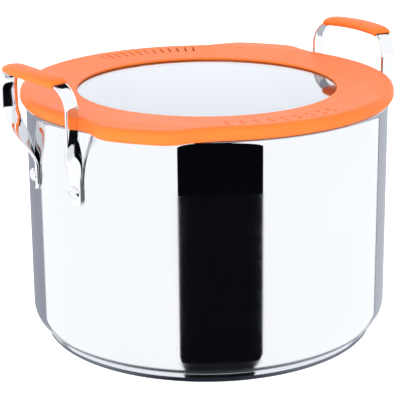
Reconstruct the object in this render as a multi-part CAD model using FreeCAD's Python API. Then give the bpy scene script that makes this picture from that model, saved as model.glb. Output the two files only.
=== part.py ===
import FreeCAD, Part
import math
import os

from FreeCAD import Matrix, Vector

# A stockpot for water bath canning, with a straining lid and a jar rack.
# Millimetres and degrees. The origin is the middle of the underside, +Z is up,
# and the two side handles are on +X and -X.

# Pot
POT_RADIUS = 120.0            # outside of the straight wall
POT_HEIGHT = 160.0            # underside of the base to the top of the rim
POT_WALL = 0.8
POT_CORNER_RADIUS = 17.5      # outside, where the wall turns into the bottom
RIM_FLARE_RADIUS = 5.0        # bend of the lip, on its outside
RIM_FLARE_ANGLE = 45.0

# Encapsulated base: an aluminium core inside a steel cap
CORE_THICKNESS = 4.0
CAP_THICKNESS = 0.6
CAP_INSET = 8.0               # pot wall to the edge of the cap
CAP_EDGE_RADIUS = 6.0

# Side handles: a twisted steel strap with a soft grip, riveted to the wall
STRAP_WIDTH = 10.5
STRAP_THICKNESS = 2.5
STRAP_CORNER = 0.9
STRAP_STANDOFF = 13.0         # pot wall to the middle of the upright strap
STRAP_BEND_RADIUS = 15.0      # where a leg turns into the top bar
RIVET_DROP = 40.0             # rim to the rivets
EAR_BELOW_RIVET = 9.5
EAR_ABOVE_RIVET = 6.0
EAR_SEAT = 0.12               # the flat ear is dressed to the round wall by this much
RIVET_HALF_SPACING = 24.5     # along the wall, from the middle of the handle
LEG_HALF_SPACING = 38.2       # the same, for the upright part of a leg
LEG_SWING_SHARE = 0.8         # of the rise, by which a leg has moved out and round
LEG_TWIST_SHARE = 0.62        # of the rise, by which it has turned edge-on
TOP_BAR_RISE = 30.2           # rim to the middle of the top bar, at its ends
TOP_BAR_ARCH = 1.8            # how much higher the bar is in the middle
GRIP_WIDTH = 16.0
GRIP_THICKNESS = 6.6
GRIP_HALF_LENGTH = 29.0
GRIP_SIZES = (                # place along the sleeve's half, and share of its full section
    (0, 1), (0.45, 1), (0.8, 0.97), (0.92, 0.88), (1, 0.76))

# Rivets
RIVET_SHANK_RADIUS = 2.4
RIVET_HEAD_RADIUS = 4.3
RIVET_HEAD_HEIGHT = 2.7
RIVET_TAIL_RADIUS = 4.0
RIVET_TAIL_SIDE = 0.5         # straight edge of the tail, before it rounds over
RIVET_TAIL_DOME = 0.9

# Lid: a flat glass disc in a silicone ring
LID_TURN = 35.4               # the ring's pulling lips, from the handles
GLASS_THICKNESS = 4.0
GLASS_INSET = 30.0            # pot wall to the edge of the glass
GLASS_LAP = 4.0               # silicone over and under the edge of the glass
LAP_THICKNESS = 1.1
RING_OVERHANG = 3.6           # past the pot wall
RING_THICKNESS = 9.0
RING_WEB_THICKNESS = 5.3
RING_EDGE_RADIUS = 3.4
RING_TOP_FALL = 2.4           # the top slopes down to the glass by this much
RING_REST_GAP = 0.3
COLLAR_CLEARANCE = 0.5        # locating collar to the inside of the pot
COLLAR_THICKNESS = 2.4
COLLAR_DEPTH = 6.0
LIP_REACH = 12.2              # lip past the round edge of the ring
LIP_HALF_ANGLE = 6.5          # of its level front
LIP_SHOULDER_RADIUS = 22.0
LIP_HOLLOW_RADIUS = 60.0

# Straining holes and slots in the ring
HOLE_RADIUS = 1.4
HOLE_PAIRS = 9
HOLE_PITCH = 4.75
HOLE_ROW_SPACING = 6.5
HOLE_MIDDLE_ANGLE = 223.6     # from the first lip
SLOT_COUNT = 13
SLOT_PITCH = 3.1
SLOT_LENGTH = 11.0
SLOT_WIDTH = 1.4
SLOT_MIDDLE_ANGLE = 42.4
HOLE_EDGE_MARGIN = 1.6        # solid silicone beside the collar

# Jar rack of welded wire
RACK_WIRE_RADIUS = 1.6
RACK_FLOOR_MARGIN = 0.5       # outer hoop to where the pot's floor curves up
RACK_FLOOR_GAP = 0.3
RACK_DECK_HEIGHT = 14.0       # pot floor to the middle of the hoops
RACK_HUB_RADIUS = 36.0
RACK_SPOKES = 6
RACK_SPOKE_OVERRUN = 6.0      # spoke ends past the hub hoop, inwards
WELD_DEPTH = 0.3
RACK_FEET = 4
FOOT_HALF_WIDTH = 9.0
LIFT_LOOP_HALF_WIDTH = 24.0
LIFT_LOOP_DROP = 32.0         # rim to the middle of a lift loop's bar
LOOP_BEND_RADIUS = 8.0

# Worked out from the sizes above
POT_BORE = POT_RADIUS - POT_WALL
BASE_HEIGHT = CORE_THICKNESS + CAP_THICKNESS
POT_FLOOR = BASE_HEIGHT + POT_WALL
CAP_RADIUS = POT_RADIUS - CAP_INSET
RIVET_HEIGHT = POT_HEIGHT - RIVET_DROP
STRAP_RADIUS = POT_RADIUS + STRAP_STANDOFF
EAR_FACE = POT_RADIUS + STRAP_THICKNESS - EAR_SEAT
EAR_RADIUS = EAR_FACE - STRAP_THICKNESS / 2
RIVET_ANGLE = math.degrees(RIVET_HALF_SPACING / POT_RADIUS)
LEG_ANGLE = math.degrees(LEG_HALF_SPACING / STRAP_RADIUS)
BEND_TURN = math.degrees(STRAP_BEND_RADIUS / STRAP_RADIUS)
GRIP_ANGLE = math.degrees(GRIP_HALF_LENGTH / STRAP_RADIUS)
TOP_BAR_HEIGHT = POT_HEIGHT + TOP_BAR_RISE
RING_BOTTOM = POT_HEIGHT + RING_REST_GAP
RING_TOP = RING_BOTTOM + RING_THICKNESS
RING_RADIUS = POT_RADIUS + RING_OVERHANG
GLASS_RADIUS = POT_RADIUS - GLASS_INSET
WINDOW_RADIUS = GLASS_RADIUS - GLASS_LAP
GLASS_BOTTOM = RING_BOTTOM + LAP_THICKNESS
COLLAR_RADIUS = POT_BORE - COLLAR_CLEARANCE
COLLAR_BORE = COLLAR_RADIUS - COLLAR_THICKNESS
OUTER_HOLE_ROW = COLLAR_BORE - HOLE_EDGE_MARGIN - HOLE_RADIUS
RACK_RADIUS = POT_RADIUS - POT_CORNER_RADIUS - RACK_FLOOR_MARGIN - RACK_WIRE_RADIUS
DECK_HEIGHT = POT_FLOOR + RACK_DECK_HEIGHT
LOOP_TOP = POT_HEIGHT - LIFT_LOOP_DROP

UP = Vector(0, 0, 1)
OUT = Vector(1, 0, 0)


def polar(radius, degrees, height=0.0):
    """Point at a radius and angle round the pot's axis."""
    turn = math.radians(degrees)
    return Vector(radius * math.cos(turn), radius * math.sin(turn), height)


def smooth(fraction):
    """0 to 1 with no slope at either end."""
    bounded = min(max(fraction, 0.0), 1.0)
    return bounded * bounded * (3 - 2 * bounded)


def outline(start, *steps):
    """Closed wire in the XZ plane. A step is (r, z) for a straight edge,
    or ((r, z), (r, z)) for an arc through its first point to its second."""
    def place(point):
        return Vector(point[0], 0, point[1])

    edges = []
    here = place(start)
    for step in steps + (start,):
        if isinstance(step[0], tuple):
            middle, end = place(step[0]), place(step[1])
            edges.append(Part.Arc(here, middle, end).toShape())
        else:
            end = place(step)
            if end.distanceToPoint(here) < 1e-7:
                continue
            edges.append(Part.makeLine(here, end))
        here = end
    return Part.Wire(edges)


def turned(start, *steps):
    """Solid of revolution about Z from such an outline."""
    return Part.Face(outline(start, *steps)).revolve(Vector(), UP, 360)


def arc_steps(centre, radius, first, last):
    """Middle and end points of an arc about a centre, for outline()."""
    def at(degrees):
        turn = math.radians(degrees)
        return (centre[0] + radius * math.cos(turn), centre[1] + radius * math.sin(turn))

    return (at((first + last) / 2), at(last))


def disc(radius, bottom, top):
    return Part.makeCylinder(radius, top - bottom, Vector(0, 0, bottom))


def tube(outer, inner, bottom, top):
    return disc(outer, bottom, top).cut(disc(inner, bottom, top))


def turned_about_axis(shape, degrees):
    """Copy of a shape, turned about the pot's axis."""
    copy = shape.copy()
    copy.rotate(Vector(), UP, degrees)
    return copy


# ---------------------------------------------------------------- pot and base

def corner_centre():
    return (POT_RADIUS - POT_CORNER_RADIUS, BASE_HEIGHT + POT_CORNER_RADIUS)


def pot_hull():
    """The pot as if it were filled: used to trim what sits against it."""
    centre = corner_centre()
    return turned(
        (0, BASE_HEIGHT),
        (centre[0], BASE_HEIGHT),
        arc_steps(centre, POT_CORNER_RADIUS, -90, 0),
        (POT_RADIUS, POT_HEIGHT),
        (0, POT_HEIGHT))


def pot_body():
    """Drawn shell: flat bottom, round corner, straight wall and flared lip."""
    centre = corner_centre()
    bend = RIM_FLARE_RADIUS + POT_WALL
    flare_start = POT_HEIGHT - bend * math.sin(math.radians(RIM_FLARE_ANGLE))
    flare_centre = (POT_RADIUS + RIM_FLARE_RADIUS, flare_start)
    lip_end = 180 - RIM_FLARE_ANGLE
    lip_inside = arc_steps(flare_centre, bend, 180, lip_end)[1]
    shell = turned(
        (0, BASE_HEIGHT),
        (centre[0], BASE_HEIGHT),
        arc_steps(centre, POT_CORNER_RADIUS, -90, 0),
        (POT_RADIUS, flare_start),
        arc_steps(flare_centre, RIM_FLARE_RADIUS, 180, lip_end),
        lip_inside,
        arc_steps(flare_centre, bend, lip_end, 180),
        (POT_BORE, centre[1]),
        arc_steps(centre, POT_CORNER_RADIUS - POT_WALL, 0, -90),
        (0, POT_FLOOR))
    for _, angle in rivet_places():
        hole = Part.makeCylinder(
            RIVET_SHANK_RADIUS, 3 * POT_WALL,
            polar(POT_RADIUS - 2 * POT_WALL, angle, RIVET_HEIGHT), polar(1, angle))
        shell = shell.cut(hole)
    return shell


def base_core():
    """Heat-spreading disc between the cap and the pot's bottom."""
    radius = CAP_RADIUS - CAP_THICKNESS
    edge = CAP_EDGE_RADIUS - CAP_THICKNESS
    slab = turned(
        (0, CAP_THICKNESS),
        (radius - edge, CAP_THICKNESS),
        arc_steps((radius - edge, CAP_THICKNESS + edge), edge, -90, 0),
        (radius, BASE_HEIGHT + POT_CORNER_RADIUS),
        (0, BASE_HEIGHT + POT_CORNER_RADIUS))
    return slab.cut(pot_hull())


def base_cap():
    """Shallow steel dish pressed round the core; its edge meets the pot's corner."""
    inner = CAP_RADIUS - CAP_THICKNESS
    edge = CAP_EDGE_RADIUS
    top = BASE_HEIGHT + POT_CORNER_RADIUS
    centre = (CAP_RADIUS - edge, edge)
    dish = turned(
        (0, 0),
        (centre[0], 0),
        arc_steps(centre, edge, -90, 0),
        (CAP_RADIUS, top),
        (inner, top),
        (inner, edge),
        arc_steps(centre, edge - CAP_THICKNESS, 0, -90),
        (0, CAP_THICKNESS))
    return dish.cut(pot_hull())


# --------------------------------------------------------------------- handles

def rivet_places():
    """Names and angles of the four rivets."""
    places = []
    for side, middle in (("right", 0.0), ("left", 180.0)):
        for end, offset in (("front", -RIVET_ANGLE), ("rear", RIVET_ANGLE)):
            turn = offset if side == "right" else -offset
            places.append(("%s_handle_%s_rivet" % (side, end), middle + turn))
    return places


def dome_steps(radius, base, height):
    """Spherical cap from the edge of its base to its top; a negative height hangs down."""
    sphere = (radius ** 2 + height ** 2) / (2 * abs(height))
    way = 1 if height > 0 else -1
    centre = (0, base + height - way * sphere)
    edge = math.degrees(math.atan2(base - centre[1], radius))
    return arc_steps(centre, sphere, edge, way * 90)


def reversed_dome(radius, base, height):
    """The same cap, drawn from its top to the edge of its base."""
    return (dome_steps(radius, base, height)[0], (radius, base))


def rivet(angle, pot):
    """Domed head outside, shank through strap and wall, low tail inside."""
    tail_side = POT_BORE - RIVET_TAIL_SIDE
    half = Part.Face(outline(
        (0, EAR_FACE + RIVET_HEAD_HEIGHT),
        (0, tail_side - RIVET_TAIL_DOME),
        reversed_dome(RIVET_TAIL_RADIUS, tail_side, -RIVET_TAIL_DOME),
        (RIVET_TAIL_RADIUS, POT_BORE),
        (RIVET_SHANK_RADIUS, POT_BORE),
        (RIVET_SHANK_RADIUS, EAR_FACE),
        (RIVET_HEAD_RADIUS, EAR_FACE),
        dome_steps(RIVET_HEAD_RADIUS, EAR_FACE, RIVET_HEAD_HEIGHT)))
    body = half.revolve(Vector(), UP, 360)
    body.rotate(Vector(), Vector(0, 1, 0), 90)
    body.rotate(Vector(), UP, angle)
    body.translate(Vector(0, 0, RIVET_HEIGHT))
    return body.cut(pot)


def strap_section(width, origin, across, through):
    """Rounded rectangle about a point; 'across' is its width, 'through' its thickness."""
    half_w, half_t = width / 2, STRAP_THICKNESS / 2
    cut = min(STRAP_CORNER, half_w * 0.6)
    bulge = cut * (1 - math.sqrt(0.5))

    def at(u, v):
        return origin + across * u + through * v

    corners = [(1, 1), (-1, 1), (-1, -1), (1, -1)]
    edges = []
    previous = at(half_w, half_t - cut)
    for index, (su, sv) in enumerate(corners):
        beside = at(su * half_w, sv * (half_t - cut))
        above = at(su * (half_w - cut), sv * half_t)
        first, last = (beside, above) if index % 2 == 0 else (above, beside)
        middle = at(su * (half_w - bulge), sv * (half_t - bulge))
        if index:
            edges.append(Part.makeLine(previous, first))
        edges.append(Part.Arc(first, middle, last).toShape())
        previous = last
    edges.append(Part.makeLine(previous, at(half_w, half_t - cut)))
    return Part.Wire(edges)


def bar_height(degrees):
    """Middle of the top bar: arched between the legs, and down round the bends."""
    arch = TOP_BAR_ARCH * (1 - (degrees / LEG_ANGLE) ** 2)
    round_bend = max(0.0, 1 - (LEG_ANGLE - abs(degrees)) / BEND_TURN)
    drop = STRAP_BEND_RADIUS * (1 - math.sqrt(1 - round_bend ** 2))
    return TOP_BAR_HEIGHT + arch - drop


def leg_stations():
    """One leg from its ear up to the top bar: (angle, radius, height, width, twist).
    Twist 0 lies flat on the wall, 90 stands edge-on to it."""
    bottom = RIVET_HEIGHT - EAR_BELOW_RIVET
    straight = RIVET_HEIGHT + EAR_ABOVE_RIVET
    bend_start = TOP_BAR_HEIGHT - STRAP_BEND_RADIUS
    stations = []
    for step in (0.06, 0.2, 0.5, 1.0):
        width = STRAP_WIDTH * math.sqrt(1 - (1 - step) ** 2)
        stations.append((RIVET_ANGLE, EAR_RADIUS, bottom + step * STRAP_WIDTH / 2, width, 0.0))
    stations.append((RIVET_ANGLE, EAR_RADIUS, straight, STRAP_WIDTH, 0.0))
    rise = bend_start - straight
    for step in (0.1, 0.2, 0.3, 0.4, 0.5, 0.6, 0.7, 0.8, 0.9):
        swing = smooth(step / LEG_SWING_SHARE)
        stations.append((
            RIVET_ANGLE + (LEG_ANGLE - RIVET_ANGLE) * swing,
            EAR_RADIUS + (STRAP_RADIUS - EAR_RADIUS) * swing,
            straight + rise * step, STRAP_WIDTH, 90 * smooth(step / LEG_TWIST_SHARE)))
    return stations


def strap_frames():
    """Origins and directions of every section, from one ear to the other."""
    frames = []
    stations = leg_stations()
    for index, (angle, radius, height, width, twist) in enumerate(stations):
        before = stations[max(index - 1, 0)]
        after = stations[min(index + 1, len(stations) - 1)]
        along = polar(after[1], after[0], after[2]) - polar(before[1], before[0], before[2])
        if twist == 0.0:
            along = Vector(UP)
        frames.append((polar(radius, angle, height), along, width, angle, twist))
    for degrees in (0, 18, 36, 54, 72, 90):
        turn = math.radians(degrees)
        angle = LEG_ANGLE - BEND_TURN * (1 - math.cos(turn))
        sideways = polar(1, angle + 90) * -math.sin(turn)
        frames.append((polar(STRAP_RADIUS, angle, bar_height(angle)),
                       sideways + UP * math.cos(turn), STRAP_WIDTH, angle, 90.0))
    bar_end = LEG_ANGLE - BEND_TURN
    for share in (0.66, 0.33):
        angle = bar_end * share
        frames.append((polar(STRAP_RADIUS, angle, bar_height(angle)),
                       polar(-1, angle + 90), STRAP_WIDTH, angle, 90.0))
    return frames


def handle_strap(pot_outside):
    """Twisted strap round the +X side, built on its +Y half and mirrored."""
    wires = []
    for origin, along, width, angle, twist in strap_frames():
        along.normalize()
        wall_across = polar(1, angle + 90)
        turn = math.radians(twist)
        across = wall_across * math.cos(turn) - polar(1, angle) * math.sin(turn)
        across = across - along * across.dot(along)
        across.normalize()
        wires.append(strap_section(width, origin, across, across.cross(along)))
    middle = Vector(STRAP_RADIUS, 0, TOP_BAR_HEIGHT + TOP_BAR_ARCH)
    wires.append(strap_section(STRAP_WIDTH, middle, -OUT, UP))
    half = Part.makeLoft(wires, True, True)
    strap = half.fuse(half.mirror(Vector(), Vector(0, 1, 0))).removeSplitter()
    strap = strap.cut(pot_outside)
    for angle in (RIVET_ANGLE, -RIVET_ANGLE):
        strap = strap.cut(Part.makeCylinder(
            RIVET_SHANK_RADIUS, 4 * STRAP_THICKNESS,
            polar(POT_RADIUS - STRAP_THICKNESS, angle, RIVET_HEIGHT), polar(1, angle)))
    return strap


def grip_section(angle, scale):
    """Flattened oval across the top bar."""
    centre = polar(STRAP_RADIUS, angle, bar_height(angle))
    oval = Part.Ellipse(Vector(), GRIP_WIDTH / 2 * scale, GRIP_THICKNESS / 2 * scale).toShape()
    out, along = polar(1, angle), polar(1, angle + 90)
    oval.transformShape(Matrix(
        out.x, UP.x, along.x, centre.x,
        out.y, UP.y, along.y, centre.y,
        out.z, UP.z, along.z, centre.z,
        0, 0, 0, 1))
    return Part.Wire([oval])


def handle_grip(strap):
    """Soft sleeve round the top bar."""
    other_half = [(-share, scale) for share, scale in GRIP_SIZES[:0:-1]]
    wires = [grip_section(GRIP_ANGLE * share, scale)
             for share, scale in other_half + list(GRIP_SIZES)]
    return Part.makeLoft(wires, True).cut(strap)


# ------------------------------------------------------------------------- lid

def ring_outline():
    """Round edge with two opposite pulling lips, all in tangent arcs."""
    reach = RING_RADIUS + LIP_REACH
    shoulder, hollow = LIP_SHOULDER_RADIUS, LIP_HOLLOW_RADIUS
    outer, inner = reach - shoulder, RING_RADIUS + hollow
    cosine = (outer ** 2 + inner ** 2 - (shoulder + hollow) ** 2) / (2 * outer * inner)
    swing = math.degrees(math.acos(cosine))
    half = LIP_HALF_ANGLE + swing
    edges = []
    for lip in (0.0, 180.0):
        for side in (-1, 1):
            round_centre = polar(outer, lip + side * LIP_HALF_ANGLE)
            hollow_centre = polar(inner, lip + side * half)
            meeting = round_centre + (hollow_centre - round_centre) * (
                shoulder / (shoulder + hollow))
            foot = polar(RING_RADIUS, lip + side * half)
            tip = polar(reach, lip + side * LIP_HALF_ANGLE)
            hollow_way = (foot - hollow_centre) + (meeting - hollow_centre)
            round_way = (tip - round_centre) + (meeting - round_centre)
            hollow_middle = hollow_centre + hollow_way * (hollow / hollow_way.Length)
            round_middle = round_centre + round_way * (shoulder / round_way.Length)
            pieces = [
                Part.Arc(foot, hollow_middle, meeting).toShape(),
                Part.Arc(meeting, round_middle, tip).toShape()]
            if side < 0:
                edges += pieces
                edges.append(Part.Arc(
                    tip, polar(reach, lip), polar(reach, lip + LIP_HALF_ANGLE)).toShape())
            else:
                edges += [
                    Part.Arc(tip, round_middle, meeting).toShape(),
                    Part.Arc(meeting, hollow_middle, foot).toShape(),
                    Part.Arc(foot, polar(RING_RADIUS, lip + 90),
                             polar(RING_RADIUS, lip + 180 - half)).toShape()]
    return Part.Wire(edges)


def strainer_cutters():
    """Two rows of round holes on one side and a fan of slots on the other."""
    cutters = []
    low, tall = RING_BOTTOM - 1, RING_THICKNESS + 2
    for index in range(HOLE_PAIRS):
        angle = HOLE_MIDDLE_ANGLE + (index - (HOLE_PAIRS - 1) / 2) * HOLE_PITCH
        for row in range(2):
            radius = OUTER_HOLE_ROW - row * HOLE_ROW_SPACING
            cutters.append(Part.makeCylinder(HOLE_RADIUS, tall, polar(radius, angle, low)))
    for index in range(SLOT_COUNT):
        angle = SLOT_MIDDLE_ANGLE + (index - (SLOT_COUNT - 1) / 2) * SLOT_PITCH
        outer_end = OUTER_HOLE_ROW + HOLE_RADIUS
        slot = Part.makeBox(SLOT_LENGTH, SLOT_WIDTH, tall,
                            Vector(outer_end - SLOT_LENGTH, -SLOT_WIDTH / 2, low))
        cutters.append(turned_about_axis(slot, angle))
    return cutters


def lid_ring():
    """Silicone ring: rounded edge, lips, groove for the glass, collar and strainer."""
    blank = Part.Face(ring_outline()).extrude(UP * RING_THICKNESS)
    blank.translate(UP * RING_BOTTOM)
    rims = [edge for edge in blank.Edges
            if abs(edge.BoundBox.ZMax - edge.BoundBox.ZMin) < 1e-6]
    blank = blank.makeFillet(RING_EDGE_RADIUS, rims)
    slope = turned(
        (0, RING_TOP - RING_TOP_FALL),
        (WINDOW_RADIUS, RING_TOP - RING_TOP_FALL),
        (COLLAR_RADIUS, RING_TOP),
        (COLLAR_RADIUS, RING_TOP + 1),
        (0, RING_TOP + 1))
    collar = tube(COLLAR_RADIUS, COLLAR_BORE, RING_BOTTOM - COLLAR_DEPTH,
                  RING_BOTTOM + RING_THICKNESS / 2)
    hollow = tube(COLLAR_BORE, GLASS_RADIUS + GLASS_LAP, RING_BOTTOM - 1,
                  RING_TOP - RING_WEB_THICKNESS)
    ring = blank.fuse(collar)
    ring = ring.cut([slope, disc(WINDOW_RADIUS, RING_BOTTOM - 1, RING_TOP + 1), lid_disc(), hollow])
    ring = ring.cut(strainer_cutters())
    return turned_about_axis(ring.removeSplitter(), LID_TURN)


def lid_disc():
    return disc(GLASS_RADIUS, GLASS_BOTTOM, GLASS_BOTTOM + GLASS_THICKNESS)


# ------------------------------------------------------------------------ rack

def hoop(radius):
    """Wire ring at the height of the deck."""
    return Part.makeTorus(radius, RACK_WIRE_RADIUS, Vector(0, 0, DECK_HEIGHT), UP)


def wire_along(points, bend):
    """Round wire along straight runs with an arc at every inner point."""
    edges = []
    here = points[0]
    for corner, after in zip(points[1:-1], points[2:]):
        back = (here - corner).normalize()
        onward = (after - corner).normalize()
        half_turn = (math.pi - back.getAngle(onward)) / 2
        setback = bend * math.tan(half_turn)
        start, end = corner + back * setback, corner + onward * setback
        inward = (back + onward).normalize()
        middle = corner + inward * (bend / math.cos(half_turn) - bend)
        edges.append(Part.makeLine(here, start))
        edges.append(Part.Arc(start, middle, end).toShape())
        here = end
    edges.append(Part.makeLine(here, points[-1]))
    way = (points[1] - points[0]).normalize()
    section = Part.Wire([Part.makeCircle(RACK_WIRE_RADIUS, points[0], way)])
    return Part.Wire(edges).makePipeShell([section], True, True)


def hoop_loop(angle, half_width, height, outer_hoop):
    """U of wire welded on the outer hoop, up to a height or down to it."""
    reach = math.sqrt(RACK_RADIUS ** 2 - half_width ** 2)
    towards = 1 if height > DECK_HEIGHT else -1
    foot = DECK_HEIGHT + towards * (RACK_WIRE_RADIUS - WELD_DEPTH)
    points = [Vector(reach, -half_width, foot), Vector(reach, -half_width, height),
              Vector(reach, half_width, height), Vector(reach, half_width, foot)]
    bend = min(LOOP_BEND_RADIUS, 0.45 * abs(height - foot))
    return turned_about_axis(wire_along(points, bend), angle).cut(outer_hoop)


def rack_spoke(angle, hoops):
    """Straight wire laid on both hoops and welded there."""
    start = RACK_HUB_RADIUS - RACK_SPOKE_OVERRUN
    height = DECK_HEIGHT + 2 * RACK_WIRE_RADIUS - WELD_DEPTH
    wire = Part.makeCylinder(RACK_WIRE_RADIUS, RACK_RADIUS - start,
                             polar(start, angle, height), polar(1, angle))
    return wire.cut(hoops)


def rack_parts():
    outer_hoop, hub_hoop = hoop(RACK_RADIUS), hoop(RACK_HUB_RADIUS)
    parts = {"rack_outer_hoop": outer_hoop, "rack_hub_hoop": hub_hoop}
    for index in range(RACK_SPOKES):
        angle = (index + 0.5) * 360 / RACK_SPOKES
        parts["rack_spoke_%d" % (index + 1)] = rack_spoke(angle, [outer_hoop, hub_hoop])
    foot_level = POT_FLOOR + RACK_FLOOR_GAP + RACK_WIRE_RADIUS
    for index in range(RACK_FEET):
        angle = (index + 0.5) * 360 / RACK_FEET
        parts["rack_foot_%d" % (index + 1)] = hoop_loop(
            angle, FOOT_HALF_WIDTH, foot_level, outer_hoop)
    for name, angle in (("right", 0), ("left", 180)):
        parts["rack_%s_lift_loop" % name] = hoop_loop(
            angle, LIFT_LOOP_HALF_WIDTH, LOOP_TOP, outer_hoop)
    return parts


# -------------------------------------------------------------------- assembly

def all_parts():
    pot = pot_body()
    pot_outside = disc(POT_RADIUS, 0, POT_HEIGHT)
    parts = {"pot_body": pot, "base_core": base_core(), "base_cap": base_cap()}
    strap = handle_strap(pot_outside)
    grip = handle_grip(strap)
    for name, angle in (("right", 0), ("left", 180)):
        parts["%s_handle_strap" % name] = turned_about_axis(strap, angle)
        parts["%s_handle_grip" % name] = turned_about_axis(grip, angle)
    for name, angle in rivet_places():
        parts[name] = rivet(angle, pot)
    parts["lid_glass"] = lid_disc()
    parts["lid_ring"] = lid_ring()
    parts.update(rack_parts())
    return parts


os.makedirs("parts", exist_ok=True)
for name, shape in all_parts().items():
    print("%-28s solids %d  volume %10.1f  valid %s" % (
        name, len(shape.Solids), shape.Volume, shape.isValid()))
    shape.exportStep("parts/%s.step" % name)
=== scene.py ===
import bmesh
import bpy
import numpy as np
from mathutils import Matrix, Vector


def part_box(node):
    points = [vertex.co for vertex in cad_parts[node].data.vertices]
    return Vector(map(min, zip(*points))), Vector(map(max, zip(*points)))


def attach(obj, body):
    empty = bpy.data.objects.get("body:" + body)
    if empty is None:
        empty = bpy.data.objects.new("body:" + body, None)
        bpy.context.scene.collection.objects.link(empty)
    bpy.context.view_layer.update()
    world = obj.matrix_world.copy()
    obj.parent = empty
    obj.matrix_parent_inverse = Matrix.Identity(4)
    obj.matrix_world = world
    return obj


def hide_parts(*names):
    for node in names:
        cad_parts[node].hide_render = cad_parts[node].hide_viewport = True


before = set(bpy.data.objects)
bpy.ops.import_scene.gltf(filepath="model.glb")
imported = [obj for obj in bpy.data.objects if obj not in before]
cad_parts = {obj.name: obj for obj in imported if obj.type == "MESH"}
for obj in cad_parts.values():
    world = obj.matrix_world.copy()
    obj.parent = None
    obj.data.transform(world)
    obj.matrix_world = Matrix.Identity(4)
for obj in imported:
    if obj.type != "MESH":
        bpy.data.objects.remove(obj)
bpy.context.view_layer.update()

# Stockpot for water bath canning: a steel pot with riveted strap handles, a flat
# glass lid in a silicone ring that strains, and a welded jar rack inside.
# Shapes are worked out in millimetres and turned to metres when a mesh is made.
# Angles are in degrees round the pot's axis, from the right handle on +X.

MM = 0.001


def span(name):
    """Lowest and highest corner of a CAD node, in millimetres."""
    low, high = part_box(name)
    return np.array(low) / MM, np.array(high) / MM


# Pot
RIM_HEIGHT = span("pot_body")[1][2]
BASE_TOP = span("pot_body")[0][2]
POT_RADIUS = 120.0
POT_WALL = 0.8
POT_BORE = POT_RADIUS - POT_WALL
POT_FLOOR = BASE_TOP + POT_WALL
CORNER_RADIUS = 17.5
FLARE_RADIUS = 5.0
FLARE_ANGLE = 45.0
LIP_ROUNDING = 0.36
POLISHED_ABOVE = 126.3        # height where satin gives way to the polished belt

# Base cap
CAP_RADIUS = span("base_cap")[1][0]
CAP_THICKNESS = 0.6
CAP_EDGE_RADIUS = 6.0

# Handles
STRAP_WIDTH = 10.5
STRAP_THICKNESS = 2.5
STRAP_SQUARENESS = 3.6        # exponent of the section; 2 is an ellipse
STRAP_RADIUS = POT_RADIUS + 13.0
STRAP_BEND_RADIUS = 15.0
EAR_SEAT = 0.12               # how deep the flat ear beds into the round wall
EAR_FACE = POT_RADIUS + STRAP_THICKNESS - EAR_SEAT
EAR_RADIUS = EAR_FACE - STRAP_THICKNESS / 2
EAR_EDGE = 1.1
RIVET_HEIGHT = 120.0
EAR_BOTTOM = RIVET_HEIGHT - 9.5
EAR_TOP = RIVET_HEIGHT + 6.0
RIVET_ANGLE = np.degrees(24.5 / POT_RADIUS)
LEG_ANGLE = np.degrees(38.2 / STRAP_RADIUS)
LEG_SWING_SHARE = 0.8         # share of the leg's rise in which it moves out
LEG_TWIST_SHARE = 0.62        # share of the leg's rise in which it twists
BEND_TURN = np.degrees(STRAP_BEND_RADIUS / STRAP_RADIUS)
BAR_HEIGHT = RIM_HEIGHT + 30.2
BAR_ARCH = 1.8
GRIP_WIDTH = 16.0
GRIP_THICKNESS = 6.6
GRIP_ANGLE = np.degrees(29.0 / STRAP_RADIUS)
GRIP_SQUARENESS = 2.3
GRIP_SLIMS_FROM = 0.55        # share of its half length where a grip starts to slim
GRIP_ROUNDS_FROM = 0.88       # share where its end starts to round in

# Rivets
SHANK_RADIUS = 2.4
HEAD_RADIUS = 4.3
HEAD_HEIGHT = 2.7
TAIL_RADIUS = 4.0
TAIL_HEIGHT = 1.4
HEAD_RIM = 0.25               # straight rim under the head's dome
TAIL_RIM = 0.4
HEAD_SINK = 0.9               # the head's underside, below the face of the ear

# Lid
LID_TURN = 35.4               # the ring's pulling lips, from the handles
GLASS_LOW, GLASS_HIGH = span("lid_glass")
GLASS_RADIUS = GLASS_HIGH[0]
GLASS_PLAY = 0.04             # between the glass and its groove
RING_TOP = span("lid_ring")[1][2]
RING_THICKNESS = 9.0
RING_BOTTOM = RING_TOP - RING_THICKNESS
RING_RADIUS = POT_RADIUS + 3.6
RING_EDGE_RADIUS = 3.4
RING_TOP_FALL = 2.4
WINDOW_RADIUS = GLASS_RADIUS - 4.0
WEB_BOTTOM = RING_TOP - 5.3
COLLAR_RADIUS = POT_BORE - 0.5
COLLAR_BORE = COLLAR_RADIUS - 2.4
COLLAR_BOTTOM = span("lid_ring")[0][2]
LIP_REACH = 12.2
LIP_HALF_ANGLE = 6.5
LIP_SHOULDER_RADIUS = 22.0
LIP_HOLLOW_RADIUS = 60.0
HOLE_RADIUS = 1.4
HOLE_PAIRS = 9
HOLE_PITCH = 4.75
HOLE_ROW_SPACING = 6.5
HOLE_MIDDLE_ANGLE = 223.6
OUTER_HOLE_ROW = COLLAR_BORE - 1.6 - HOLE_RADIUS
SLOT_COUNT = 13
SLOT_PITCH = 3.1
SLOT_LENGTH = 11.0
SLOT_WIDTH = 1.4
SLOT_MIDDLE_ANGLE = 42.4

# Rack
WIRE_RADIUS = 1.6
RACK_RADIUS = span("rack_outer_hoop")[1][0] - WIRE_RADIUS
HUB_RADIUS = span("rack_hub_hoop")[1][0] - WIRE_RADIUS
DECK_HEIGHT = span("rack_outer_hoop")[0][2] + WIRE_RADIUS
SPOKE_START = HUB_RADIUS - 6.0
WELD_DEPTH = 0.3
LOOP_BEND_RADIUS = 8.0


# ----------------------------------------------------------------- lines and grids

def unit(vectors):
    return vectors / np.linalg.norm(vectors, axis=-1, keepdims=True)


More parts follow.
